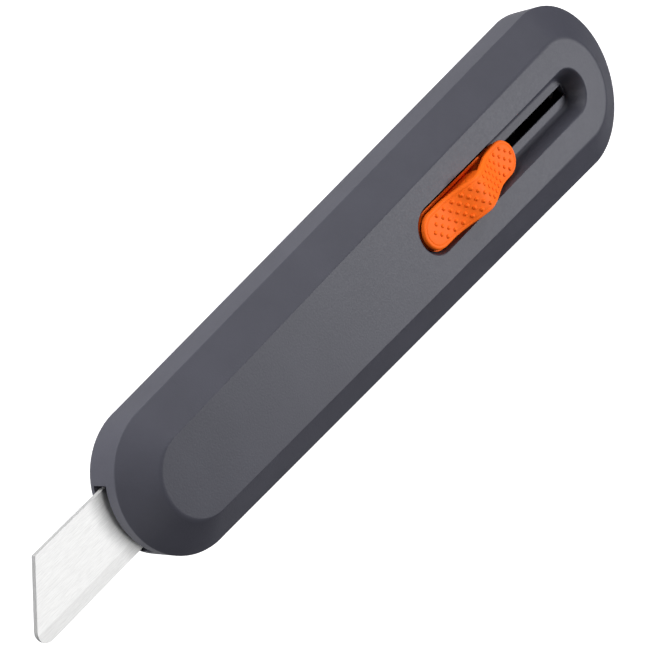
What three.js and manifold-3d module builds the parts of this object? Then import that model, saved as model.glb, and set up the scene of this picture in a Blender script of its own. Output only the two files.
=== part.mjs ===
// Utility knife with a retractable blade, built as the pieces it comes apart into.
// Millimetres. +X points to the blade tip, +Y to the cutting edge, +Z to the slider.
// The origin is the middle of the flat rear face, where the knife lies on a table.
import * as THREE from 'three';
import { mergeVertices } from 'three/addons/utils/BufferGeometryUtils.js';
import Module from 'manifold-3d';

const wasm = await Module();
wasm.setup();

// ---------- driving dimensions ----------
const FIT = 0.3;                    // gap kept between pieces that touch
const LENGTH = 158;                 // handle, nose to tail
const END_SQUASH = 0.951;           // the round ends are this much shorter than half circles
const NOSE_R = 14.13;               // half width of the handle at the nose
const TAIL_R = 18.46;               // half width at the tail
const REAR_Z = 6.14;                // rear edge of the side wall, where the shells part
const SIDE_Z = 13.8;                // front edge of the side wall
const FACE_Z = 18.37;               // front face at mid length
const FACE_SLOPE = 0.0025;          // the front face rises a little towards the nose
const WALL = 2.2;                   // wall of the shells
const CEILING_Z = 12.4;             // inner side of the front shell under the slider
const NOSE_X = LENGTH / 2 - NOSE_R * END_SQUASH;
const TAIL_X = -LENGTH / 2 + TAIL_R * END_SQUASH;
const BODY = { noseX: NOSE_X, noseR: NOSE_R, tailX: TAIL_X, tailR: TAIL_R };
const FRONT_FACE = { noseX: 65.1, noseR: 8.06, tailX: -60.1, tailR: 11.47 };
const REAR_FACE = { noseX: 65.1, noseR: 7.9, tailX: -60.1, tailR: 11.4 };
const REAR_FACE_INSIDE = { noseX: 64.5, noseR: 6.4, tailX: -59.5, tailR: 9.9 };

const TRAVEL = 26;                  // blade and slider, fully out to fully in
const RECESS = { front: -8.5, tail: -59.25, top: 5.15, floor: 3.4, floorZ: 14.2 };
const SLOT = { front: -10.5, tail: -61.9, half: 1.15 };

const BLADE = { tip: 103.4, back: -6.26, edge: 7.04, length: 61, top: 8.92, thick: 1.2 };
const BLADE_SLANT = 9.85;           // how far the end slants back from edge to back
const BLADE_POINT_R = 2.05;         // radius of the rounded points
const BEVEL = 2.55;                 // width of the ground edge
const EXIT = { low: -7.2, high: 7.75, bottom: 7.3, top: 11.1 };

const CARRIER = { rear: -46, front: 72, half: 8.6, bottom: 9.2, top: 10.8 };
const RIB = { rear: -33, front: -8, half: 3, top: CEILING_Z - FIT };
const STUD = { x: 70, y: -5.4, r: 1.1 };
const SCREW_X = [-12.5, -27.5];
const PAD_SPRING_X = -19.6;

const DETENT_X = -24;               // where the leaf's bump sits with the blade out
const DETENT_Y = 6.9;
const LEAF_RIVET_X = -42;
const CLIP_RIVET_X = [34, 38.5];

const HINGE = { x: -61, z: 2, barrel: 2, half: 7, earIn: 7.3, earOut: 9.8, pin: 0.7, bore: 1 };
const PAD_HINGE = { x: -7, z: 17.3, pin: 0.6, bore: 0.9 };
const CATCH = { x0: 30, x1: 36, fin: 11.25 };

// ---------- materials ----------
const paint = (color, roughness, metalness = 0) =>
  new THREE.MeshStandardMaterial({ color, roughness, metalness });
const nylon = paint(0x5c5d65, 0.62);
const blackPlastic = paint(0x161618, 0.5);
const orange = paint(0xf46a22, 0.45);
const ceramic = paint(0xf3f3f1, 0.35);
const steel = paint(0xb4b6b9, 0.3, 1);
const rubber = paint(0x1c1c1c, 0.9);

// ---------- solids ----------
function solid(geometry) {
  const bare = geometry.clone();
  bare.deleteAttribute('normal');
  bare.deleteAttribute('uv');
  const merged = mergeVertices(bare, 1e-4);
  const mesh = new wasm.Mesh({
    numProp: 3,
    vertProperties: new Float32Array(merged.attributes.position.array),
    triVerts: new Uint32Array(merged.index.array),
  });
  return new wasm.Manifold(mesh);
}

function geometryOf(body) {
  const { vertProperties, triVerts } = body.getMesh();
  const geometry = new THREE.BufferGeometry();
  geometry.setAttribute('position', new THREE.BufferAttribute(new Float32Array(vertProperties), 3));
  geometry.setIndex(new THREE.BufferAttribute(new Uint32Array(triVerts), 1));
  geometry.computeVertexNormals();
  return geometry;
}

const join = (first, ...others) => others.reduce((body, other) => body.add(other), first);
const cut = (first, ...others) => others.reduce((body, other) => body.subtract(other), first);

function block(x0, x1, y0, y1, z0, z1) {
  const geometry = new THREE.BoxGeometry(x1 - x0, y1 - y0, z1 - z0);
  geometry.translate((x0 + x1) / 2, (y0 + y1) / 2, (z0 + z1) / 2);
  return solid(geometry);
}

function post(x, y, z0, z1, radius, sides = 16) {
  const geometry = new THREE.CylinderGeometry(radius, radius, z1 - z0, sides);
  geometry.rotateX(Math.PI / 2);
  geometry.translate(x, y, (z0 + z1) / 2);
  return solid(geometry);
}

function crossPin(x, z, half, radius, sides = 16) {
  const geometry = new THREE.CylinderGeometry(radius, radius, 2 * half, sides);
  geometry.translate(x, 0, z);
  return solid(geometry);
}

// A closed shape standing on the XY plane, from z0 to z1.
function prism(shape, z0, z1, curveSegments = 8) {
  const geometry = new THREE.ExtrudeGeometry(shape, { depth: z1 - z0, bevelEnabled: false, curveSegments });
  geometry.translate(0, 0, z0);
  return solid(geometry);
}

// A closed shape drawn in x and z, as thick as y0 to y1.
function sidePrism(points, y0, y1) {
  const shape = new THREE.Shape(points.map(([x, z]) => new THREE.Vector2(x, z)));
  const geometry = new THREE.ExtrudeGeometry(shape, { depth: y1 - y0, bevelEnabled: false });
  geometry.rotateX(Math.PI / 2);
  geometry.translate(0, y1, 0);
  return solid(geometry);
}

// Long round-ended outline: two squashed circles joined by their tangents.
function outline({ noseX, noseR, tailX, tailR }, inset = 0, squash = END_SQUASH, steps = 14) {
  const lean = Math.PI / 2 + Math.asin((tailR - noseR) / (noseX - tailX));
  const points = [];
  for (let i = 0; i <= steps; i++) {
    const angle = -lean + (2 * lean * i) / steps;
    points.push([noseX + squash * (noseR - inset) * Math.cos(angle), (noseR - inset) * Math.sin(angle)]);
  }
  for (let i = 0; i <= steps; i++) {
    const angle = lean + ((2 * Math.PI - 2 * lean) * i) / steps;
    points.push([tailX + squash * (tailR - inset) * Math.cos(angle), (tailR - inset) * Math.sin(angle)]);
  }
  return points;
}

// Solid through a stack of outlines with the same number of points, lowest first.
function loft(levels) {
  const rings = levels.map(([points, height]) =>
    points.map(([x, y]) => [x, y, typeof height === 'function' ? height(x) : height]));
  const count = rings[0].length;
  const index = [];
  for (let level = 0; level + 1 < rings.length; level++) {
    for (let i = 0; i < count; i++) {
      const a = level * count + i;
      const b = level * count + ((i + 1) % count);
      index.push(a, b, b + count, a, b + count, a + count);
    }
  }
  const top = (rings.length - 1) * count;
  for (let i = 1; i + 1 < count; i++) {
    index.push(0, i + 1, i);
    index.push(top, top + i, top + i + 1);
  }
  const geometry = new THREE.BufferGeometry();
  geometry.setAttribute('position', new THREE.BufferAttribute(new Float32Array(rings.flat(2)), 3));
  geometry.setIndex(index);
  return solid(geometry);
}

const slotShape = (x0, x1, radius) => ({ noseX: x1, noseR: radius, tailX: x0, tailR: radius });
const faceHeight = (x) => FACE_Z + FACE_SLOPE * x;

// Outline of the rear chamfer at a height between the rear face and the side wall.
function rearOutline(z, inset = 0) {
  const low = outline(REAR_FACE, inset);
  const high = outline(BODY, inset);
  const share = z / REAR_Z;
  return low.map(([x, y], i) => [x + (high[i][0] - x) * share, y + (high[i][1] - y) * share]);
}

// ---------- housing ----------
function frontShell() {
  const outside = loft([
    [outline(BODY), REAR_Z],
    [outline(BODY), SIDE_Z],
    [outline(FRONT_FACE), faceHeight],
  ]);
  const bay = loft([[outline(BODY, WALL), REAR_Z - 1], [outline(BODY, WALL), CEILING_Z]]);
  const nosePocket = loft([
    [outline({ noseX: 62, noseR: 8.6, tailX: 10, tailR: 10.4 }), CEILING_Z - 1],
    [outline({ noseX: 62, noseR: 7, tailX: 10, tailR: 8.8 }), FACE_Z - 2],
  ]);
  const { front, tail, top, floor, floorZ } = RECESS;
  const slope = (top - floor) / (FACE_Z - floorZ);
  const recess = loft([
    [outline(slotShape(tail, front, floor), 0, 1, 12), floorZ],
    [outline(slotShape(tail, front, top + slope), 0, 1, 12), FACE_Z + 1],
  ]);
  const slot = block(SLOT.tail, SLOT.front, -SLOT.half, SLOT.half, CEILING_Z - 1, floorZ + 1);
  const exit = block(NOSE_X, LENGTH / 2 + 5, EXIT.low, EXIT.high, EXIT.bottom, EXIT.top);
  const rackPocket = block(-63, -9, 5.6, 8.4, CEILING_Z - 1, 14.4);
  const shell = cut(outside, bay, nosePocket, recess, slot, exit, rackPocket);
  return join(shell, tailBlock());
}

// The tail end of the rear side, fixed to the front shell, with the two hinge ears.
function tailBlock() {
  const outside = loft([
    [outline(REAR_FACE), 0],
    [outline(BODY), REAR_Z],
    [outline(BODY), REAR_Z + 1],
  ]);
  const hollow = loft([[outline(REAR_FACE_INSIDE), WALL], [outline(BODY, WALL + 0.4), REAR_Z],
    [outline(BODY, WALL + 0.4), REAR_Z + 2]]);
  const keep = block(-LENGTH, HINGE.x - FIT, -LENGTH, LENGTH, -1, REAR_Z + 2);
  const dish = cut(outside, hollow).intersect(keep);
  const sweep = crossPin(HINGE.x, HINGE.z, LENGTH, HINGE.barrel + 2 * FIT, 24);
  const ear = (side) => {
    const [low, high] = side > 0 ? [HINGE.earIn, HINGE.earOut] : [-HINGE.earOut, -HINGE.earIn];
    const lug = block(HINGE.x - 7, HINGE.x, low, high, 0.8, 4.8);
    const nose = crossPin(HINGE.x, HINGE.z + 0.4, LENGTH, 1.6, 20).intersect(
      block(HINGE.x - 3, HINGE.x + 3, low, high, -1, REAR_Z));
    return join(lug, nose);
  };
  const bore = crossPin(HINGE.x, HINGE.z, HINGE.earOut - 0.6, HINGE.bore);
  return cut(join(cut(dish, sweep), ear(1), ear(-1)), bore);
}

function rearCover() {
  const topZ = REAR_Z - FIT;
  const outside = loft([[outline(REAR_FACE), 0], [rearOutline(topZ), topZ]]);
  const hollow = loft([[outline(REAR_FACE_INSIDE), WALL], [outline(BODY, WALL + 0.4), REAR_Z]]);
  const tail = block(-LENGTH, HINGE.x, -LENGTH, LENGTH, -1, REAR_Z + 1);
  const earGap = (low, high) => block(HINGE.x - 1, HINGE.x + 2.3, low - FIT, high + FIT, -1, REAR_Z + 1);
  const body = cut(outside, hollow, tail, earGap(HINGE.earIn, HINGE.earOut),
    earGap(-HINGE.earOut, -HINGE.earIn));
  const barrel = crossPin(HINGE.x, HINGE.z, HINGE.half, HINGE.barrel, 24);
  const fin = (y) => block(CATCH.x0 + 1, CATCH.x1 - 1, y - 0.5, y + 0.5, 3.6, 9.4);
  const bore = crossPin(HINGE.x, HINGE.z, LENGTH, HINGE.bore);
  return cut(join(body, barrel, fin(CATCH.fin), fin(-CATCH.fin)), bore);
}

const hingePin = () => crossPin(HINGE.x, HINGE.z, HINGE.earOut - 0.9, HINGE.pin);

// Spring steel fork that grips a fin of the rear cover.
function catchClip(side) {
  const y = side * CATCH.fin;
  const outside = block(CATCH.x0, CATCH.x1, y - 1.15, y + 1.15, 6.6, CEILING_Z - FIT);
  const gap = block(CATCH.x0 - 1, CATCH.x1 + 1, y - 0.8, y + 0.8, 6, 10.6);
  return cut(outside, gap);
}

// L-shaped rail along one side of the carrier.
function rail(side) {
  const span = (low, high) => (side > 0 ? [low, high] : [-high, -low]);
  const ledge = block(-60, 60, ...span(7.5, 9.7), 7.6, CARRIER.bottom - FIT);
  const web = block(-60, 60, ...span(CARRIER.half + FIT, 9.7), 8, CEILING_Z - FIT);
  return join(ledge, web);
}

// Strip with one notch for each blade position: out, half way and in.
function detentRack() {
  const strip = block(-62.7, -9.3, 5.9, 8.1, CEILING_Z, 14.1);
  const notches = [0, TRAVEL / 2, TRAVEL].map((shift) => {
    const x = DETENT_X - shift;
    return sidePrism([[x - 2.8, CEILING_Z - 0.4], [x + 2.8, CEILING_Z - 0.4], [x, 13.6]], 5, 9);
  });
  return cut(strip, ...notches);
}

const frontStop = () => block(RIB.front + FIT, RIB.front + 3, -2.5, 2.5, CARRIER.top + FIT, RIB.top);
const rearStop = () => block(RIB.rear - TRAVEL - 3, RIB.rear - TRAVEL - FIT, -2.5, 2.5,
  CARRIER.top + FIT, RIB.top);

// Slide bearing under the blade, just inside the nose.
function bladeGuide() {
  return block(62, 72.4, -8.4, 8.4, 6.5, BLADE.top - BLADE.thick - FIT);
}

// ---------- blade and carrier ----------
function bladeCarrier() {
  const { rear, front, half, bottom, top } = CARRIER;
  const plan = outline({ noseX: front - 4, noseR: half, tailX: rear + 3, tailR: half }, 0, 0.4, 8);
  const plate = loft([[plan, bottom], [plan, top]]);
  const rib = block(RIB.rear, RIB.front, -RIB.half, RIB.half, top - 0.5, RIB.top);
  const edges = [[-8.5, -7.4], [7.4, 8.5]].map(([low, high]) => block(-2, 62, low, high, top - 0.5, 12));
  const windows = [12, 48].map((x) => post(x, 0, bottom - 1, top + 1, 4.2, 24));
  const stud = post(STUD.x, STUD.y, BLADE.top - BLADE.thick, bottom + 0.4, STUD.r);
  const bores = [
    ...SCREW_X.map((x) => post(x, 0, bottom - 1, RIB.top + 1, 0.9)),
    ...CLIP_RIVET_X.map((x) => post(x, 0, bottom - 1, top + 1, 1)),
    post(LEAF_RIVET_X, DETENT_Y, bottom - 1, top + 1, 0.75),
  ];
  return cut(join(plate, rib, ...edges, stud), ...windows, ...bores);
}

// Trapezoid blade with rounded points, a ground edge and one notch in its back.
function blade() {
  const { tip, back, edge, length, top, thick } = BLADE;
  const rear = tip - length;
  const shape = new THREE.Shape();
  const lean = Math.atan2(BLADE_SLANT, edge - back);
  const reach = BLADE_POINT_R / Math.tan((Math.PI / 2 - lean) / 2);
  shape.moveTo(rear + BLADE_SLANT, back);
  shape.lineTo(tip - BLADE_SLANT, back);
  shape.absarc(tip - reach, edge - BLADE_POINT_R, BLADE_POINT_R, -lean, Math.PI / 2);
  shape.absarc(rear + reach, edge - BLADE_POINT_R, BLADE_POINT_R, Math.PI / 2, Math.PI + lean);
  shape.closePath();
  const plate = prism(shape, top - thick, top, 5);
  const notch = post(STUD.x, back, 0, 20, 2.3, 20);
  const middle = top - thick / 2;
  const grind = (side) => {
    const z = middle + (side * thick) / 2;
    const tipZ = middle + side * 0.05;
    const points = [[edge - BEVEL, z], [edge + 1, z], [edge + 1, tipZ], [edge, tipZ]];
    const wedge = new THREE.Shape(points.map(([y, height]) => new THREE.Vector2(y, height)));
    const geometry = new THREE.ExtrudeGeometry(wedge, { depth: length + 4, bevelEnabled: false });
    geometry.applyMatrix4(new THREE.Matrix4().set(0, 0, 1, rear - 2, 1, 0, 0, 0, 0, 1, 0, 0, 0, 0, 0, 1));
    return solid(geometry);
  };
  return cut(plate, notch, grind(1), grind(-1));
}

// Spring strip that holds the blade up against the carrier.
function bladeClip() {
  const strip = block(31.5, 60, -2.6, 2.6, 7, 7.4);
  return cut(strip, ...CLIP_RIVET_X.map((x) => post(x, 0, 6, 9, 1)));
}

const clipRivet = (x) => join(post(x, 0, 6.2, 6.7, 1.6), post(x, 0, 6.5, CARRIER.top - 0.2, 0.7));

// Leaf spring whose bump drops into the notches of the rack.
function detentSpring() {
  const x = DETENT_X;
  const upper = [[x + 5, 12], [x + 2, 12.1], [x, 13.05], [x - 2, 12.1], [x - 14, 11.4], [x - 20, 11.4]];
  const lower = upper.map(([px, pz]) => [px, pz - 0.3]).reverse();
  const leaf = sidePrism([...upper, ...lower], DETENT_Y - 1.1, DETENT_Y + 1.1);
  return cut(leaf, post(LEAF_RIVET_X, DETENT_Y, 10, 13, 0.75));
}

const leafRivet = () => join(post(LEAF_RIVET_X, DETENT_Y, 11.7, 12.1, 0.95),
  post(LEAF_RIVET_X, DETENT_Y, CARRIER.bottom + 0.4, 11.9, 0.45));

// ---------- slider ----------
const BASE = { front: -8.5, rear: -33, low: 3.2, high: 4.45, z0: RECESS.floorZ + FIT, z1: 17.4 };
const POCKET = { low: 2.9, high: 4, z0: 15.1 };
const REAR_SEAT = { x: -27.8, z: 15.8 };     // lower end of the base, under the pad's rear lobe

function sliderBase() {
  const { front, rear, low, high, z0, z1 } = BASE;
  const tray = loft([
    [outline(slotShape(rear, front, low), 0, 1, 12), z0],
    [outline(slotShape(rear, front, high), 0, 1, 12), z1],
  ]);
  const flare = (POCKET.high - POCKET.low) / (z1 - POCKET.z0);
  const pocket = loft([
    [outline(slotShape(rear, front, POCKET.low), 0, 1, 12), POCKET.z0],
    [outline(slotShape(rear, front, POCKET.high + flare), 0, 1, 12), z1 + 1],
  ]);
  const seatRoom = block(rear - 10, REAR_SEAT.x, -10, 10, REAR_SEAT.z, z1 + 1);
  const stem = block(-25.4, -14.6, -0.85, 0.85, RIB.top + FIT, z0 + 0.3);
  const lug = block(PAD_HINGE.x - 1.4, PAD_HINGE.x + 1.4, -1.2, 1.2, POCKET.z0 - 0.3, 18.3);
  const bores = SCREW_X.map((x) => post(x, 0, 12, 16.5, 0.9));
  return cut(join(cut(tray, pocket, seatRoom), stem, lug), ...bores,
    crossPin(PAD_HINGE.x, PAD_HINGE.z, 2, PAD_HINGE.bore));
}

const sliderScrew = (x) => join(post(x, 0, 15.4, 16, 1.35), post(x, 0, 9.6, 15.6, 0.6));

// The pad's side profile: a low front, a crest and a low rear lobe.
const PAD_TOP = [[-4.4, 18.4], [-5.2, 19], [-12, 19.15], [-15, 20.1], [-17.6, 21.4], [-19.4, 22.1],
  [-20.6, 22.2], [-22, 21.8], [-24.6, 20.7], [-28, 19], [-30, 18.2], [-32, 17.85], [-36.6, 17.7], [-37.5, 17.2]];
const PAD_HALF = 3.95;
const PAD_THICK = 1.1;

function sliderPad() {
  const under = PAD_TOP.slice(1, -1).map(([x, z]) => [x, z - PAD_THICK]).reverse();
  const strip = sidePrism([...PAD_TOP, ...under], -PAD_HALF, PAD_HALF);
  const inside = PAD_TOP.slice(1, 9).map(([x, z]) => [x, z - 0.5]);
  const core = sidePrism([...inside, [-24.6, 17.6], [-23, 16.4], [-5.2, 16.4]], -PAD_HALF, PAD_HALF);
  const coreEdge = outline(slotShape(-33.5, -8.5, 3.1), 0, 1, 12);
  const corePlan = loft([[coreEdge, 14], [coreEdge, 24]]);
  const edge = outline(slotShape(-33.5, -8.1, PAD_HALF), 0, 0.98, 12);
  const plan = loft([[edge, 14], [edge, 24]]);
  const lugRoom = block(PAD_HINGE.x - 1.8, PAD_HINGE.x + 1.8, -1.5, 1.5, 15, 18.6);
  const springRoom = post(PAD_SPRING_X, 0, 15, 20.2, 2.1, 20);
  const screwRoom = SCREW_X.map((x) => post(x, 0, 15, 17, 1.75));
  return cut(join(strip.intersect(plan), core.intersect(corePlan)), lugRoom, springRoom, ...screwRoom,
    crossPin(PAD_HINGE.x, PAD_HINGE.z, 3.1, PAD_HINGE.bore));
}

const padPin = () => crossPin(PAD_HINGE.x, PAD_HINGE.z, 2.8, PAD_HINGE.pin);

// Coil spring that lifts the pad after a press.
function padSpring() {
  class Helix extends THREE.Curve {
    getPoint(t, target = new THREE.Vector3()) {
      const turn = t * 4.5 * 2 * Math.PI;
      return target.set(PAD_SPRING_X + 1.45 * Math.cos(turn), 1.45 * Math.sin(turn), 15.65 + 4.1 * t);
    }
  }
  const wire = new THREE.Shape();
  wire.absarc(0, 0, 0.22, 0, 2 * Math.PI, false);
  return solid(new THREE.ExtrudeGeometry(wire,
    { steps: 54, curveSegments: 3, bevelEnabled: false, extrudePath: new Helix() }));
}

// ---------- assembly ----------
const group = new THREE.Group();

function add(name, body, material) {
  const mesh = new THREE.Mesh(geometryOf(body), material);
  mesh.name = name;
  group.add(mesh);
}

add('front_shell', frontShell(), nylon);
add('rear_cover', rearCover(), nylon);
add('hinge_pin', hingePin(), steel);
add('catch_clip_left', catchClip(-1), steel);
add('catch_clip_right', catchClip(1), steel);
add('rail_left', rail(-1), blackPlastic);
add('rail_right', rail(1), blackPlastic);
add('detent_rack', detentRack(), blackPlastic);
add('front_stop', frontStop(), rubber);
add('rear_stop', rearStop(), rubber);
add('blade_guide', bladeGuide(), blackPlastic);
add('blade_carrier', bladeCarrier(), blackPlastic);
add('blade', blade(), ceramic);
add('blade_clip', bladeClip(), steel);
add('clip_rivet_front', clipRivet(CLIP_RIVET_X[1]), steel);
add('clip_rivet_rear', clipRivet(CLIP_RIVET_X[0]), steel);
add('detent_spring', detentSpring(), steel);
add('detent_rivet', leafRivet(), steel);
add('slider_base', sliderBase(), orange);
add('slider_screw_front', sliderScrew(SCREW_X[0]), steel);
add('slider_screw_rear', sliderScrew(SCREW_X[1]), steel);
add('slider_pad', sliderPad(), orange);
add('pad_pin', padPin(), steel);
add('pad_spring', padSpring(), steel);

export default group;
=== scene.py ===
"""Utility knife: finish and fine shape of every piece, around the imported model.

Lengths are millimetres in the named values below and metres in Blender, by MM.
+X points to the blade tip, +Y to the cutting edge, +Z to the slider; the knife lies on Z = 0.
"""
import math

import bmesh
import bpy
from mathutils import Matrix, Vector


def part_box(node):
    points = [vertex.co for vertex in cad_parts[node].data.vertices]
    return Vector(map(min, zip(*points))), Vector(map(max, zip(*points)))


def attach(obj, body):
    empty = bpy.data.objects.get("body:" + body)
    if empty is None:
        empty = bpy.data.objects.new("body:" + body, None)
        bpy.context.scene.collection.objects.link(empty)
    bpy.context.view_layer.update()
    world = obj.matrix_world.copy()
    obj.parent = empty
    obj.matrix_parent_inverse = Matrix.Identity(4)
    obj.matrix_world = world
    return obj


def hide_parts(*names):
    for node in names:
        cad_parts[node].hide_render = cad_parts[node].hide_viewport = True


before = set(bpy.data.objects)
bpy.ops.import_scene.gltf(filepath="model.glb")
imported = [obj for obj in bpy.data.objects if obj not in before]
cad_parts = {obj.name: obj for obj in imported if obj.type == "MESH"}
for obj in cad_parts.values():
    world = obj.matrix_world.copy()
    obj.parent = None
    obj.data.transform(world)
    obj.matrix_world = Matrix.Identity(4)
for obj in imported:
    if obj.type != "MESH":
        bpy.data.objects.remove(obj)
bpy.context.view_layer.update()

MM = 0.001
SMALLEST = 1e-6                # points closer than this, in metres, are one point
ARC_STEPS = 40                 # round each end of an outline
SIDE_STEPS = 36                # along each side of an outline
ROD_SIDES = 48

# ---------- driving dimensions, in mm ----------
shell_low, shell_high = [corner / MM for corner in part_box("front_shell")]
LENGTH = shell_high.x - shell_low.x
TAIL_R = shell_high.y
FIT = 0.3                      # gap between pieces that touch
END_SQUASH = 0.951             # the round ends are this much shorter than half circles
NOSE_R = 14.13
WALL = 2.2
REAR_Z = 6.14                  # rear edge of the side wall, where the shells part
SIDE_Z = 13.8                  # front edge of the side wall
FACE_Z = 18.37                 # front face at mid length
FACE_SLOPE = 0.0025            # rise of the front face per mm towards the nose
CEILING_Z = 12.4               # underside of the front wall, over the carrier

BODY = (LENGTH / 2 - NOSE_R * END_SQUASH, NOSE_R, -LENGTH / 2 + TAIL_R * END_SQUASH, TAIL_R)
FRONT_FACE = (65.1, 8.06, -60.1, 11.47)      # nose x and radius, tail x and radius
REAR_FACE = (65.1, 7.9, -60.1, 11.4)
REAR_FACE_INSIDE = (64.5, 6.4, -59.5, 9.9)

CAP_INSET = 3                  # flat ends of a solid start this far in from its last edge

RECESS = dict(front=-8.5, tail=-59.25, top=5.15, floor=3.4, z=14.2)
SLOT = dict(front=-10.5, tail=-61.9, half=1.15, lip=0.35, under=0.4, under_half=0.9)
MOUTH = dict(low=-7.2, high=7.75, bottom=7.3, top=11.1)
RACK_ROOM = dict(x0=-63, x1=-9, y0=5.6, y1=8.4, top=14.4)
NOSE_ROOM = dict(nose_x=62, tail_x=10, nose_r=8.6, tail_r=10.4, taper=1.6, roof=2)
HINGE = dict(x=-61, z=2, barrel=2, half=7, ear_in=7.3, ear_out=9.8, bore=1, bore_end=0.6)
EAR = dict(length=7, z0=0.8, z1=4.8, eye=1.6, lift=0.4)
EAR_GAP = dict(behind=1, ahead=2.3)          # in the cover, from the hinge line
FIN = dict(x0=31, x1=35, y=11.25, half=0.5, z0=3.6, z1=9.4)

BLADE = dict(tip=103.4, back=-6.26, edge=7.04, length=61, slant=9.85, thick=1.2, point_r=2.05, heel_r=0.25)
BLADE_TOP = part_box("blade")[1].z / MM
GRIND = dict(width=2.55, past=1, end=-0.17)  # the wedge's height past the edge, from the blade's middle
STUD = dict(x=70, notch=2.3)

BASE = dict(front=-8.5, rear=-33, low=3.2, high=4.45, z0=14.5, z1=17.4)
BASE_CAP = 1.5                 # as CAP_INSET, for the slider base
POCKET = dict(low=2.9, high=3.75, z0=15.1)
SEAT = dict(x=-27.8, z=15.8)
STEM = dict(x0=-25.4, x1=-14.6, half=0.85)
LUG = dict(reach=1.4, half=1.2, top=18.3)
SCREW = dict(places=(-12.5, -27.5), bore=0.9, head=1.75, z0=12, z1=16.5, head_z=17)

PAD_HINGE = dict(x=-7, z=17.3, bore=0.87, pin_half=3.1, gap_reach=1.8, gap_half=1.5, gap_top=18.6)
PAD_HALF = 3.95
PAD_ENDS = (-8.1, -33.5)       # centres of the pad's round ends
PAD_THICK = 1.1
PAD_SPINE = 0.12               # half width of the strip that closes the pad along its middle
PAD_CROWN = 0.12               # the pad's middle is this much higher than its rim
PAD_UNDERSIDE = 15             # below every part of the pad
PAD_PROFILE = ((-4, 18.95), (-8.5, 19.05), (-12, 19.2), (-15, 20.1), (-17.6, 21.35), (-20.2, 22.15),
               (-22.2, 21.75), (-24.6, 20.7), (-28, 19.0), (-30, 18.2), (-32.2, 17.85), (-35, 17.75),
               (-38, 17.7))
CORE = dict(front=-5.2, rear=-24.6, low=16.4, slope_x=-23, slope_z=17.6, below_top=0.5)
CORE_PLAN = dict(front=-8.5, half=3.1, z0=14, z1=24)
SPRING_BORE = dict(x=-19.6, radius=2.1, top=20.75)
DOME = dict(radius=0.46, height=0.3, sunk=0.1, start=0.6, pitch=2.35, row=1.22, margin=1.35)

NODE_ROUND = dict(width=0.08, angle=40)      # on the pieces that keep their model shape
FLOOR_Z = -140                 # below the open rear cover
BACKDROP_R = 3                 # in metres


# ---------- mesh helpers ----------
def spread(first, last, steps):
    return [first + (last - first) * i / steps for i in range(steps + 1)]


def outline(shape, inset=0.0, squash=END_SQUASH):
    """Long round-ended outline, anticlockwise, as (x, y) pairs in mm."""
    nose_x, nose_r, tail_x, tail_r = shape
    lean = math.pi / 2 + math.asin((tail_r - nose_r) / (nose_x - tail_x))

    def end(x, r, first, last):
        return [(x + squash * (r - inset) * math.cos(a), (r - inset) * math.sin(a))
                for a in spread(first, last, ARC_STEPS)]

    def side(p, q):
        return [(p[0] + (q[0] - p[0]) * i / SIDE_STEPS, p[1] + (q[1] - p[1]) * i / SIDE_STEPS)
                for i in range(1, SIDE_STEPS)]

    nose = end(nose_x, nose_r, -lean, lean)
    tail = end(tail_x, tail_r, lean, 2 * math.pi - lean)
    return nose + side(nose[-1], tail[0]) + tail + side(tail[-1], nose[0])


def stadium(front, rear, radius):
    """Outline with parallel sides and round ends."""
    return outline((front, radius, rear, radius), squash=1.0)


def slot_outline(front, tail, half):
    """Outline of a rectangle, with as many points as the other outlines."""
    points = []
    for x, y in stadium(front - half, tail + half, half):
        middle = min(max(x, tail + half), front - half)
        reach = max(abs(x - middle), abs(y)) / half
        points.append((middle + (x - middle) / reach, y / reach))
    return points


def ring(points, z):
    return [Vector((x, y, z(x) if callable(z) else z)) for x, y in points]


def rounded(rings, sizes, steps=6):
    """The same stack of rings with its corners rounded; a size of 0 keeps the corner."""
    out = [rings[0]]
    for before, here, after, size in zip(rings, rings[1:], rings[2:], sizes):
        if not size:
            out.append(here)
            continue
        for i in range(steps + 1):
            t = i / steps
            level = []
            for a, b, c in zip(before, here, after):
                start = b + (a - b).normalized() * min(size, (a - b).length * 0.49)
                stop = b + (c - b).normalized() * min(size, (c - b).length * 0.49)
                level.append(start * (1 - t) ** 2 + b * (2 * t * (1 - t)) + stop * t ** 2)
            out.append(level)
    return out + [rings[-1]]


def new_object(name, bm):
    bmesh.ops.remove_doubles(bm, verts=bm.verts, dist=SMALLEST)
    bmesh.ops.recalc_face_normals(bm, faces=bm.faces)
    mesh = bpy.data.meshes.new(name)
    bm.to_mesh(mesh)
    bm.free()
    piece = bpy.data.objects.new(name, mesh)
    bpy.context.scene.collection.objects.link(piece)
    return piece


def skin(name, rings, flat_ends=True):
    """Closed solid through a stack of rings in mm.
    An end that isn't flat closes across from side to side."""
    bm = bmesh.new()
    rows = [[bm.verts.new(p * MM) for p in level] for level in rings]
    for low, high in zip(rows, rows[1:]):
        for i in range(len(low)):
            j = (i + 1) % len(low)
            bm.faces.new((low[i], low[j], high[j], high[i]))
    for row in (rows[0], rows[-1]):
        if flat_ends:
            bm.faces.new(row)
            continue
        count = len(row)
        first = ARC_STEPS // 2
        for i in range(first, first + count // 2):
            across = [row[i % count], row[(i + 1) % count], row[(ARC_STEPS - i - 1) % count],
                      row[(ARC_STEPS - i) % count]]
            bm.faces.new(list(dict.fromkeys(across)))
    return new_object(name, bm)


def block(x0, x1, y0, y1, z0, z1):
    bm = bmesh.new()
    size = Vector((x1 - x0, y1 - y0, z1 - z0)) * MM
    centre = Vector((x0 + x1, y0 + y1, z0 + z1)) * MM / 2
    bmesh.ops.create_cube(bm, size=1.0, matrix=Matrix.Translation(centre) @ Matrix.Diagonal((*size, 1)))
    return new_object("block", bm)


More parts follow.
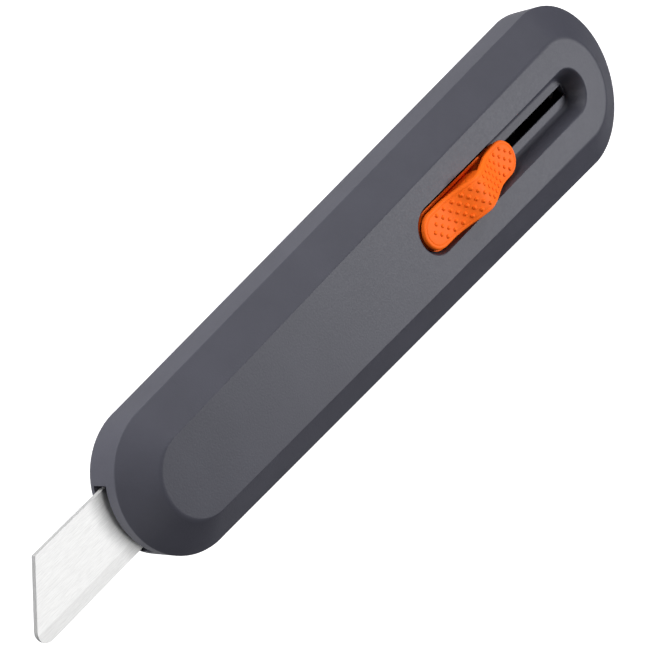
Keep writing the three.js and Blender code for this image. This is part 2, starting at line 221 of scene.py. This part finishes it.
def rod(start, end, radius):
    """Round solid between two points, in mm."""
    bm = bmesh.new()
    start, end = Vector(start) * MM, Vector(end) * MM
    turn = (end - start).to_track_quat("Z", "Y").to_matrix().to_4x4()
    bmesh.ops.create_cone(bm, cap_ends=True, segments=ROD_SIDES, radius1=radius * MM,
                          radius2=radius * MM, depth=(end - start).length,
                          matrix=Matrix.Translation((start + end) / 2) @ turn)
    return new_object("rod", bm)


def side_prism(points, y0, y1):
    """Solid with an outline drawn in x and z."""
    bm = bmesh.new()
    near = [bm.verts.new(Vector((x, y0, z)) * MM) for x, z in points]
    far = [bm.verts.new(Vector((x, y1, z)) * MM) for x, z in points]
    for i in range(len(near)):
        j = (i + 1) % len(near)
        bm.faces.new((near[i], near[j], far[j], far[i]))
    bm.faces.new(list(reversed(near)))
    bm.faces.new(far)
    return new_object("prism", bm)


def combine(piece, operation, *tools):
    """Boolean of piece with each tool, which is used up."""
    for tool in tools:
        step = piece.modifiers.new("combine", "BOOLEAN")
        step.object = tool
        step.operation = operation
        step.solver = "EXACT"
        depsgraph = bpy.context.evaluated_depsgraph_get()
        mesh = bpy.data.meshes.new_from_object(piece.evaluated_get(depsgraph))
        piece.modifiers.clear()
        piece.data = mesh
        bpy.data.objects.remove(tool)
    clean = bmesh.new()
    clean.from_mesh(piece.data)
    bmesh.ops.remove_doubles(clean, verts=clean.verts, dist=SMALLEST)
    bmesh.ops.dissolve_degenerate(clean, edges=clean.edges, dist=SMALLEST)
    clean.to_mesh(piece.data)
    clean.free()
    return piece


def cut(piece, *tools):
    return combine(piece, "DIFFERENCE", *tools)


def join(piece, *tools):
    return combine(piece, "UNION", *tools)


def soften(piece, width=0.0, angle=35):
    """Smooth shading with clean flats, and small rounds of that width on sharp edges."""
    for face in piece.data.polygons:
        face.use_smooth = True
    if width:
        bevel = piece.modifiers.new("round", "BEVEL")
        bevel.width = width * MM
        bevel.segments = 2
        bevel.limit_method = "ANGLE"
        bevel.angle_limit = math.radians(angle)
        bevel.use_clamp_overlap = True
    else:
        piece.data.set_sharp_from_angle(angle=math.radians(angle))
    normals = piece.modifiers.new("normals", "WEIGHTED_NORMAL")
    normals.keep_sharp = True
    return piece


def face_height(x):
    return FACE_Z + FACE_SLOPE * x


# ---------- materials ----------
def material(name, build):
    made = bpy.data.materials.new(name)
    made.use_nodes = True
    nodes = made.node_tree.nodes
    build(nodes, made.node_tree.links, nodes["Principled BSDF"])
    return made


def place(nodes, links, stretch=(1, 1, 1)):
    """Texture place in metres on the object, stretched along its axes."""
    where = nodes.new("ShaderNodeTexCoord")
    mapping = nodes.new("ShaderNodeMapping")
    mapping.inputs["Scale"].default_value = stretch
    links.new(where.outputs["Object"], mapping.inputs["Vector"])
    return mapping.outputs["Vector"]


def noise(nodes, links, vector, scale, detail=3.0, roughness=0.55):
    texture = nodes.new("ShaderNodeTexNoise")
    texture.inputs["Scale"].default_value = scale
    texture.inputs["Detail"].default_value = detail
    texture.inputs["Roughness"].default_value = roughness
    links.new(vector, texture.inputs["Vector"])
    return texture.outputs["Fac"]


def ramp(nodes, links, value, stops):
    made = nodes.new("ShaderNodeValToRGB")
    for element, (position, colour) in zip(made.color_ramp.elements, stops):
        element.position = position
        element.color = (*colour, 1)
    links.new(value, made.inputs["Fac"])
    return made.outputs["Color"]


def spread_value(nodes, links, value, low, high):
    made = nodes.new("ShaderNodeMapRange")
    made.inputs["To Min"].default_value = low
    made.inputs["To Max"].default_value = high
    links.new(value, made.inputs["Value"])
    return made.outputs["Result"]


def bump(nodes, links, bsdf, height, strength, distance):
    made = nodes.new("ShaderNodeBump")
    made.inputs["Strength"].default_value = strength
    made.inputs["Distance"].default_value = distance * MM
    links.new(height, made.inputs["Height"])
    links.new(made.outputs["Normal"], bsdf.inputs["Normal"])


def moulded(colour, roughness, grain=2600.0, depth=0.03, shade=0.06, gloss=0.42):
    """Moulded plastic: fine spark-eroded grain, faint mottling, slightly uneven gloss."""
    def build(nodes, links, bsdf):
        here = place(nodes, links)
        mottle = noise(nodes, links, here, 90.0, 4.0)
        dark = tuple(c * (1 - shade) for c in colour)
        light = tuple(min(1.0, c * (1 + shade)) for c in colour)
        links.new(ramp(nodes, links, mottle, ((0.3, dark), (0.7, light))), bsdf.inputs["Base Color"])
        fine = noise(nodes, links, here, grain, 2.0, 0.6)
        links.new(spread_value(nodes, links, fine, roughness - 0.06, roughness + 0.08),
                  bsdf.inputs["Roughness"])
        bsdf.inputs["Specular IOR Level"].default_value = gloss
        bump(nodes, links, bsdf, fine, 0.7, depth)
    return build


def ground_ceramic(nodes, links, bsdf):
    """White ceramic with fine grinding lines along the blade."""
    lines = noise(nodes, links, place(nodes, links, (0.05, 1, 1)), 9000.0, 4.0, 0.75)
    links.new(ramp(nodes, links, lines, ((0.34, (0.72, 0.72, 0.715)), (0.6, (0.87, 0.87, 0.865)))),
              bsdf.inputs["Base Color"])
    links.new(spread_value(nodes, links, lines, 0.35, 0.55), bsdf.inputs["Roughness"])
    bsdf.inputs["Subsurface Weight"].default_value = 0.05
    bsdf.inputs["Subsurface Radius"].default_value = (0.001, 0.001, 0.001)
    bump(nodes, links, bsdf, lines, 0.3, 0.02)


def brushed_steel(nodes, links, bsdf):
    lines = noise(nodes, links, place(nodes, links, (0.05, 1, 1)), 4000.0, 3.0)
    links.new(ramp(nodes, links, lines, ((0.3, (0.5, 0.505, 0.51)), (0.7, (0.66, 0.665, 0.67)))),
              bsdf.inputs["Base Color"])
    links.new(spread_value(nodes, links, lines, 0.24, 0.42), bsdf.inputs["Roughness"])
    bsdf.inputs["Metallic"].default_value = 1.0
    bump(nodes, links, bsdf, lines, 0.15, 0.01)


HOUSING = material("housing_plastic", moulded((0.098, 0.099, 0.126), 0.48))
ORANGE = material("orange_plastic", moulded((0.96, 0.145, 0.006), 0.6, grain=3200.0, depth=0.02,
                                            shade=0.03, gloss=0.15))
BLACK = material("inner_plastic", moulded((0.009, 0.009, 0.0095), 0.5))
RUBBER = material("stop_rubber", moulded((0.018, 0.018, 0.019), 0.85, grain=1500.0, depth=0.05))
CERAMIC = material("blade_ceramic", ground_ceramic)
STEEL = material("satin_steel", brushed_steel)


def finish_piece(piece, body, nodes, look):
    """Name the new piece after its first node, dress it and tie it to the model."""
    piece.name = nodes[0] + "_shape"
    piece.data.materials.clear()
    piece.data.materials.append(look)
    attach(piece, body)
    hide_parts(*nodes)
    return piece


# ---------- housing ----------
def whole_body():
    """The closed handle as one hollow solid, open only at the slider slot."""
    recess = (RECESS["front"], RECESS["tail"])
    slot = slot_outline(SLOT["front"], SLOT["tail"], SLOT["half"])
    under = slot_outline(SLOT["front"] + SLOT["under"], SLOT["tail"] - SLOT["under"],
                         SLOT["half"] + SLOT["under_half"])
    levels = [                 # outline, height and round of the edge there
        (outline(REAR_FACE, CAP_INSET), 0, 0),
        (outline(REAR_FACE), 0, 1.6),
        (outline(BODY), REAR_Z, 0.7),
        (outline(BODY), SIDE_Z, 0.15),
        (outline(FRONT_FACE), face_height, 0.6),
        (stadium(*recess, RECESS["top"]), face_height, 0.35),
        (stadium(*recess, RECESS["floor"]), RECESS["z"], 1.0),
        (slot, RECESS["z"], 0.12),
        (slot, RECESS["z"] - SLOT["lip"], 0),
        (under, CEILING_Z, 0),
        (outline(BODY, WALL), CEILING_Z, 0.8),
        (outline(BODY, WALL), REAR_Z, 0.8),
        (outline(REAR_FACE_INSIDE), WALL, 1.2),
        (outline(REAR_FACE_INSIDE, CAP_INSET), WALL, 0),
    ]
    rings = [ring(points, z) for points, z, _ in levels]
    rounds = [size for _, _, size in levels[1:-1]]
    return skin("body", rounded(rings, rounds))


def hinge_rod(half, radius):
    return rod((HINGE["x"], -half, HINGE["z"]), (HINGE["x"], half, HINGE["z"]), radius)


def mirrored(low, high):
    return ((low, high), (-high, -low))


def front_shell():
    shell = whole_body()
    past = LENGTH
    x, z = HINGE["x"], HINGE["z"]
    cover_room = block(x - FIT, past, -past, past, -1, REAR_Z)
    mouth = block(BODY[0], past, MOUTH["low"], MOUTH["high"], MOUTH["bottom"], MOUTH["top"])
    room = RACK_ROOM
    rack_room = block(room["x0"], room["x1"], room["y0"], room["y1"], CEILING_Z - 1, room["top"])
    room = NOSE_ROOM
    plan = (room["nose_x"], room["nose_r"], room["tail_x"], room["tail_r"])
    nose_room = skin("room", [ring(outline(plan), CEILING_Z - 1),
                              ring(outline(plan, room["taper"]), FACE_Z - room["roof"])])
    cut(shell, cover_room, hinge_rod(past, HINGE["barrel"] + 2 * FIT), mouth, rack_room, nose_room)
    for low, high in mirrored(HINGE["ear_in"], HINGE["ear_out"]):
        lug = block(x - EAR["length"], x, low, high, EAR["z0"], EAR["z1"])
        eye = rod((x, low, z + EAR["lift"]), (x, high, z + EAR["lift"]), EAR["eye"])
        join(shell, join(lug, eye))
    cut(shell, hinge_rod(HINGE["ear_out"] - HINGE["bore_end"], HINGE["bore"]))
    return finish_piece(soften(shell), "handle", ["front_shell"], HOUSING)


def rear_cover():
    cover = whole_body()
    past = LENGTH
    cut(cover, block(-past, past, -past, past, REAR_Z - FIT, past),
        block(-past, HINGE["x"], -past, past, -1, past))
    gap = (HINGE["x"] - EAR_GAP["behind"], HINGE["x"] + EAR_GAP["ahead"])
    for low, high in mirrored(HINGE["ear_in"] - FIT, HINGE["ear_out"] + FIT):
        cut(cover, block(*gap, low, high, -1, past))
    join(cover, hinge_rod(HINGE["half"], HINGE["barrel"]))
    for low, high in mirrored(FIN["y"] - FIN["half"], FIN["y"] + FIN["half"]):
        join(cover, block(FIN["x0"], FIN["x1"], low, high, FIN["z0"], FIN["z1"]))
    cut(cover, hinge_rod(past, HINGE["bore"]))
    return finish_piece(soften(cover), "cover", ["rear_cover"], HOUSING)


# ---------- blade ----------
def corner_arc(before, corner, after, radius, steps=12):
    """Points of the round that replaces a corner of an outline in x and y."""
    back = (before - corner).normalized()
    ahead = (after - corner).normalized()
    half = back.angle(ahead) / 2
    centre = corner + (back + ahead).normalized() * radius / math.sin(half)
    first = (corner + back * radius / math.tan(half) - centre).normalized()
    last = (corner + ahead * radius / math.tan(half) - centre).normalized()
    return [centre + first.slerp(last, t) * radius for t in spread(0, 1, steps)]


def grinding_wedge(x0, x1, middle, side):
    """What grinding takes off one side of the blade along its edge."""
    bm = bmesh.new()
    surface = middle + side * BLADE["thick"] / 2
    start, past = BLADE["edge"] - GRIND["width"], BLADE["edge"] + GRIND["past"]
    section = [(start, surface), (past, middle + side * GRIND["end"]),
               (past, surface + side), (start, surface + side)]
    ends = [[bm.verts.new(Vector((x, y, z)) * MM) for y, z in section] for x in (x0, x1)]
    for i in range(4):
        bm.faces.new((ends[0][i], ends[0][(i + 1) % 4], ends[1][(i + 1) % 4], ends[1][i]))
    bm.faces.new(list(reversed(ends[0])))
    bm.faces.new(ends[1])
    return new_object("grind", bm)


def ceramic_blade():
    """Trapezoid blade with rounded points, a ground edge and a notch in its back."""
    back, edge, slant = BLADE["back"], BLADE["edge"], BLADE["slant"]
    front = BLADE["tip"]
    rear = front - BLADE["length"]
    corners = [Vector((rear + slant, back)), Vector((front - slant, back)),
               Vector((front, edge)), Vector((rear, edge))]
    rounds = (BLADE["heel_r"], BLADE["heel_r"], BLADE["point_r"], BLADE["point_r"])
    points = []
    for i, (corner, radius) in enumerate(zip(corners, rounds)):
        points += corner_arc(corners[i - 1], corner, corners[(i + 1) % 4], radius)
    top, low = BLADE_TOP, BLADE_TOP - BLADE["thick"]
    plate = skin("blade", [[Vector((p.x, p.y, low)) for p in points],
                           [Vector((p.x, p.y, top)) for p in points]])
    for side in (1, -1):
        cut(plate, grinding_wedge(rear - 2, front + 2, (top + low) / 2, side))
    cut(plate, rod((STUD["x"], back, low - 1), (STUD["x"], back, top + 1), STUD["notch"]))
    return finish_piece(soften(plate, 0.06, 12), "carriage", ["blade"], CERAMIC)


# ---------- slider ----------
def smooth_profile(points, steps=10):
    """Catmull-Rom curve through (x, z) points."""
    out = []
    for i in range(len(points) - 1):
        p = [Vector(points[max(0, min(len(points) - 1, i + k))]) for k in (-1, 0, 1, 2)]
        for j in range(steps):
            t = j / steps
            out.append(0.5 * (2 * p[1] + (p[2] - p[0]) * t
                              + (2 * p[0] - 5 * p[1] + 4 * p[2] - p[3]) * t ** 2
                              + (3 * p[1] - p[0] - 3 * p[2] + p[3]) * t ** 3))
    return out + [Vector(points[-1])]


PAD_CURVE = smooth_profile(PAD_PROFILE)


def pad_height(x):
    """Height of the pad's top at x."""
    for a, b in zip(PAD_CURVE, PAD_CURVE[1:]):
        if b.x <= x <= a.x:
            return a.y + (b.y - a.y) * (a.x - x) / (a.x - b.x)
    return PAD_CURVE[0].y if x > PAD_CURVE[0].x else PAD_CURVE[-1].y


def pad_plate():
    """The thumb plate: an S-shaped strip with round ends, rounded rim and a shallow border line."""
    front, rear = PAD_ENDS
    spine = PAD_HALF - PAD_SPINE

    def level(inset, drop):
        points = stadium(front, rear, PAD_HALF - inset)
        return [Vector((x, y, pad_height(x) - drop)) for x, y in points]

    def crown(inset):
        return PAD_CROWN * ((inset / PAD_HALF) - 1) ** 2

    # each pair is how far in from the rim and how far below the profile
    under = [(spine, PAD_THICK), (2.0, PAD_THICK), (0.35, PAD_THICK), (0.12, PAD_THICK - 0.08),
             (0.0, PAD_THICK - 0.3)]
    rim = [(0.0, 0.5), (0.05, 0.28), (0.16, 0.12), (0.34, 0.03), (0.52, 0.0)]
    border = [(0.66, 0.02), (0.74, 0.1), (0.84, 0.1), (0.92, 0.02), (1.05, 0.0)]
    inner = [(1.6, 0.0), (2.4, 0.0), (3.2, 0.0), (spine, 0.0)]
    rings = [level(inset, drop) for inset, drop in under]
    rings += [level(inset, drop + crown(inset)) for inset, drop in rim + border + inner]
    return skin("plate", rings, flat_ends=False)


def domes():
    """Hexagonal pattern of small grip domes over the pad, each square to the surface."""
    bm = bmesh.new()
    walked = [0.0]
    for a, b in zip(PAD_CURVE, PAD_CURVE[1:]):
        walked.append(walked[-1] + (b - a).length)

    def at(distance):
        for i in range(1, len(walked)):
            if walked[i] >= distance:
                share = (distance - walked[i - 1]) / (walked[i] - walked[i - 1])
                step = PAD_CURVE[i] - PAD_CURVE[i - 1]
                return PAD_CURVE[i - 1] + step * share, step.normalized()
        return PAD_CURVE[-1], (PAD_CURVE[-1] - PAD_CURVE[-2]).normalized()

    rows = 2
    for row in range(-rows, rows + 1):
        y = row * DOME["row"]
        offset = DOME["pitch"] / 2 if row % 2 else 0.0
        count = int(walked[-1] / DOME["pitch"]) + 1
        for i in range(count):
            spot, along = at(offset + DOME["start"] + i * DOME["pitch"])
            ends = min(max(spot.x, PAD_ENDS[1]), PAD_ENDS[0])
            if math.hypot(spot.x - ends, y) > PAD_HALF - DOME["margin"]:
                continue
            normal = Vector((-along.y, 0, along.x)) if along.x > 0 else Vector((along.y, 0, -along.x))
            turn = normal.to_track_quat("Z", "Y").to_matrix().to_4x4()
            scale = Matrix.Diagonal((DOME["radius"], DOME["radius"], DOME["height"] + DOME["sunk"], 1))
            centre = Vector((spot.x, y, spot.y)) - normal * DOME["sunk"]
            bmesh.ops.create_uvsphere(bm, u_segments=14, v_segments=8, radius=MM,
                                      matrix=Matrix.Translation(centre * MM) @ turn @ scale)
    return new_object("domes", bm)


def pad_core():
    """The block under the front of the plate, which holds the hinge pin and the spring."""
    top = [(p.x, p.y - CORE["below_top"]) for p in PAD_CURVE if CORE["rear"] < p.x < CORE["front"]]
    under = [(CORE["rear"], CORE["slope_z"]), (CORE["slope_x"], CORE["low"]), (CORE["front"], CORE["low"])]
    core = side_prism(top + under, -PAD_HALF, PAD_HALF)
    plan = stadium(CORE_PLAN["front"], PAD_ENDS[1], CORE_PLAN["half"])
    ends = [ring(plan, CORE_PLAN["z0"]), ring(plan, CORE_PLAN["z1"])]
    return combine(core, "INTERSECT", skin("plan", ends))


def slider_pad():
    pad = pad_plate()
    join(pad, pad_core())
    x, z, low = PAD_HINGE["x"], PAD_HINGE["z"], PAD_UNDERSIDE
    reach, half, end = PAD_HINGE["gap_reach"], PAD_HINGE["gap_half"], PAD_HINGE["pin_half"]
    spring_x = SPRING_BORE["x"]
    cut(pad, block(x - reach, x + reach, -half, half, low, PAD_HINGE["gap_top"]),
        rod((spring_x, 0, low), (spring_x, 0, SPRING_BORE["top"]), SPRING_BORE["radius"]),
        rod((x, -end, z), (x, end, z), PAD_HINGE["bore"]))
    for x in SCREW["places"]:
        cut(pad, rod((x, 0, low), (x, 0, SCREW["head_z"]), SCREW["head"]))
    join(pad, domes())
    return finish_piece(soften(pad, 0, 50), "pad", ["slider_pad"], ORANGE)


def slider_base():
    """Tray with a pocket under the pad, a lug for the pad's pin and a stem through the slot."""
    def level(radius, z):
        return ring(stadium(BASE["front"], BASE["rear"], radius), z)

    rings = [
        level(BASE["low"] - BASE_CAP, BASE["z0"]),
        level(BASE["low"], BASE["z0"]),
        level(BASE["high"], BASE["z1"]),
        level(POCKET["high"], BASE["z1"]),
        level(POCKET["low"], POCKET["z0"]),
        level(POCKET["low"] - BASE_CAP, POCKET["z0"]),
    ]
    base = skin("base", rounded(rings, (0.3, 0.2, 0.15, 0.5)))
    past = LENGTH
    cut(base, block(-past, SEAT["x"], -past, past, SEAT["z"], past))
    stem = block(STEM["x0"], STEM["x1"], -STEM["half"], STEM["half"], CEILING_Z, BASE["z0"] + FIT)
    x, z, reach = PAD_HINGE["x"], PAD_HINGE["z"], LUG["reach"]
    lug = block(x - reach, x + reach, -LUG["half"], LUG["half"], POCKET["z0"] - FIT, LUG["top"])
    join(base, stem, lug)
    for screw_x in SCREW["places"]:
        cut(base, rod((screw_x, 0, SCREW["z0"]), (screw_x, 0, SCREW["z1"]), SCREW["bore"]))
    cut(base, rod((x, -2, z), (x, 2, z), PAD_HINGE["bore"]))
    return finish_piece(soften(base), "carriage", ["slider_base"], ORANGE)


# ---------- pieces that keep their model shape ----------
def dress_model_nodes():
    looks = {
        STEEL: ("hinge_pin", "catch_clip_left", "catch_clip_right", "blade_clip", "clip_rivet_front",
                "clip_rivet_rear", "detent_spring", "detent_rivet", "slider_screw_front",
                "slider_screw_rear", "pad_pin", "pad_spring"),
        BLACK: ("rail_left", "rail_right", "detent_rack", "blade_guide", "blade_carrier"),
        RUBBER: ("front_stop", "rear_stop"),
    }
    for look, names in looks.items():
        for name in names:
            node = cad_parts[name]
            node.data.materials.clear()
            node.data.materials.append(look)
            bevel = node.modifiers.new("round", "BEVEL")
            bevel.width = NODE_ROUND["width"] * MM
            bevel.segments = 2
            bevel.limit_method = "ANGLE"
            bevel.angle_limit = math.radians(NODE_ROUND["angle"])


# ---------- scene ----------
def camera():
    """High in front of the nose and rolled, so the knife runs from the upper right to the lower left."""
    back = Vector((0.5432, -0.3522, 0.7621)).normalized()
    right = Vector((-0.5907, 0.4847, 0.6451))
    right = (right - back * right.dot(back)).normalized()
    up = back.cross(right)
    data = bpy.data.cameras.new("camera")
    data.sensor_width = 36
    data.lens = 92.34
    data.clip_start = 0.01
    made = bpy.data.objects.new("camera", data)
    bpy.context.scene.collection.objects.link(made)
    turn = Matrix((right, up, back)).transposed()
    made.matrix_world = Matrix.Translation(Vector((190.07, -109.41, 247.71)) * MM) @ turn.to_4x4()
    bpy.context.scene.camera = made


def soft_light(name, place_at, size, power, colour=(1, 1, 1)):
    """Round soft box that faces the knife."""
    data = bpy.data.lights.new(name, "AREA")
    data.shape = "DISK"
    data.size = size
    data.energy = power
    data.color = colour
    made = bpy.data.objects.new(name, data)
    bpy.context.scene.collection.objects.link(made)
    made.location = place_at
    made.rotation_mode = "QUATERNION"
    made.rotation_quaternion = (Vector(place_at) - Vector((0, 0, 0.01))).to_track_quat("Z", "Y")
    return made


def light_group(light, pieces, state):
    """INCLUDE: the light reaches these pieces only. EXCLUDE: it reaches all but these."""
    group = bpy.data.collections.new(light.name + "_reach")
    for piece in pieces:
        group.objects.link(piece)
    for member in group.collection_objects:
        member.light_linking.link_state = state
    light.light_linking.receiver_collection = group


def paper(white, glow):
    """Matt sheet that is lit from behind, as on a light table."""
    def build(nodes, links, bsdf):
        bsdf.inputs["Base Color"].default_value = (white, white, white, 1)
        bsdf.inputs["Roughness"].default_value = 0.9
        bsdf.inputs["Specular IOR Level"].default_value = 0.1
        bsdf.inputs["Emission Color"].default_value = (1, 1, 1, 1)
        bsdf.inputs["Emission Strength"].default_value = glow
    return build


def floor():
    """Paper floor with room above it for the open cover, inside a bright dome.
    Their glow is for the background only, so it doesn't reach the knife."""
    bm = bmesh.new()
    bmesh.ops.create_grid(bm, x_segments=1, y_segments=1, size=BACKDROP_R)
    sheet = new_object("floor", bm)
    sheet.location.z = FLOOR_Z * MM
    sheet.data.materials.append(material("floor_paper", paper(0.95, 0.8)))
    bm = bmesh.new()
    bmesh.ops.create_uvsphere(bm, u_segments=48, v_segments=24, radius=BACKDROP_R)
    backdrop = new_object("backdrop", bm)
    backdrop.data.materials.append(material("backdrop_paper", paper(0, 1)))
    for stage in (sheet, backdrop):
        light_group(stage, [stage], "INCLUDE")


def studio(blade, slider):
    world = bpy.data.worlds.new("studio")
    world.use_nodes = True
    world.node_tree.nodes["Background"].inputs["Color"].default_value = (1, 1, 1, 1)
    world.node_tree.nodes["Background"].inputs["Strength"].default_value = 0.1
    bpy.context.scene.world = world
    bpy.context.scene.view_settings.view_transform = "Standard"
    main = soft_light("main", (-0.62, 0.28, 0.75), 0.35, 5.1, (0.96, 0.965, 1))
    tail_left = soft_light("tail_left", (-0.54, -0.63, 0.55), 0.35, 1.25)
    soft_light("low_left", (0.1, -0.9, 0.1), 0.5, 3.9)
    soft_light("right", (0, 0.8, 0.45), 0.6, 0.15)
    nose_right = soft_light("nose_right", (0.75, 0.4, 0.45), 0.5, 0.6)
    low_nose = soft_light("low_nose", (0.8, -0.5, 0.12), 0.5, 2.8)
    for light in (main, tail_left, nose_right, low_nose):
        light_group(light, [blade], "EXCLUDE")
    over_blade = soft_light("over_blade", (-0.05, 0.1, 0.8), 0.8, 8.0)
    light_group(over_blade, [blade], "INCLUDE")
    over_slider = soft_light("over_slider", (-0.45, 0.12, 0.65), 0.22, 3.45)
    beside_slider = soft_light("beside_slider", (-0.1, -0.45, 0.6), 0.3, 0.7)
    for light in (over_slider, beside_slider):
        light_group(light, slider, "INCLUDE")


camera()
front_shell()
rear_cover()
blade_piece = ceramic_blade()
slider_pieces = [slider_base(), slider_pad()]
dress_model_nodes()
floor()
studio(blade_piece, slider_pieces)
